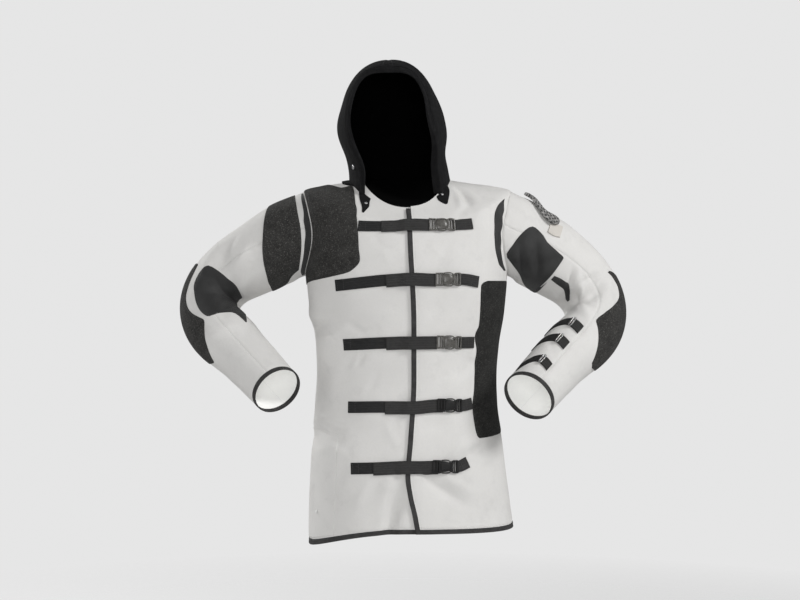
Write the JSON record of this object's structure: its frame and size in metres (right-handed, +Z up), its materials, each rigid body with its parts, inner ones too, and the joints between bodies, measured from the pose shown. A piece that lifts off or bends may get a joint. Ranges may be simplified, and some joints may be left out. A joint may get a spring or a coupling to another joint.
{
  "type": "hooded shooting jacket",
  "caption": "Hooded canvas shooting jacket in its worn form, with buckled webbing straps across the front, dark grip and stretch pieces and straps on one forearm.",
  "frame": {"origin": "middle of the wearer's shoulders, level with the points where they meet the neck", "axes": "+Z up towards the hood, the front faces -Y, the wearer's left arm is on +X"},
  "size_m": [1.0101, 0.3441, 1.0806],
  "materials": {
    "canvas": "stiff off-white woven canvas",
    "grip_cloth": "dark brushed grip cloth",
    "stretch_cloth": "smooth dark stretch cloth",
    "fleece": "black fleece",
    "webbing": "ribbed black webbing",
    "binding": "folded black tape",
    "buckle_plastic": "satin dark grey plastic",
    "metal": "bright metal"
  },
  "bodies": {
    "root": {"back": "canvas", "cuff_left": "binding", "cuff_right": "binding", "diamond": "stretch_cloth", "forearm_slider_1": "metal", "forearm_slider_2": "metal", "forearm_slider_3": "metal", "forearm_strap_1": "webbing", "forearm_strap_2": "webbing", "forearm_strap_3": "webbing", "front_edge": "binding", "front_left": "canvas", "front_right": "canvas", "hem_back": "binding", "hem_left": "binding", "hem_right": "binding", "hood_edge": "fleece", "hood_left": "fleece", "hood_right": "fleece", "hood_tab_left": "fleece", "hood_tab_right": "fleece", "hood_tab_side": "fleece", "inner_elbow_left": "stretch_cloth", "inner_elbow_right": "stretch_cloth", "insert_left": "stretch_cloth", "insert_right": "stretch_cloth", "patch_cap": "grip_cloth", "patch_elbow_left": "grip_cloth", "patch_elbow_right": "grip_cloth", "patch_shoulder": "grip_cloth", "patch_side": "grip_cloth", "pocket": "canvas", "sleeve_left_top": "canvas", "sleeve_left_under": "canvas", "sleeve_right_top": "canvas", "sleeve_right_under": "canvas", "sling_base": "canvas", "sling_loop": "webbing", "snap_hood": "metal", "snap_pocket": "metal", "snap_tab_left": "metal", "snap_tab_right": "metal", "strap_1_buckle": "buckle_plastic", "strap_1_long": "webbing", "strap_1_short": "webbing", "strap_2_buckle": "buckle_plastic", "strap_2_long": "webbing", "strap_2_short": "webbing", "strap_3_buckle": "buckle_plastic", "strap_3_long": "webbing", "strap_3_short": "webbing", "strap_4_buckle": "buckle_plastic", "strap_4_long": "webbing", "strap_4_short": "webbing", "strap_5_buckle": "buckle_plastic", "strap_5_long": "webbing", "strap_5_short": "webbing"}
  },
  "joints": []
}
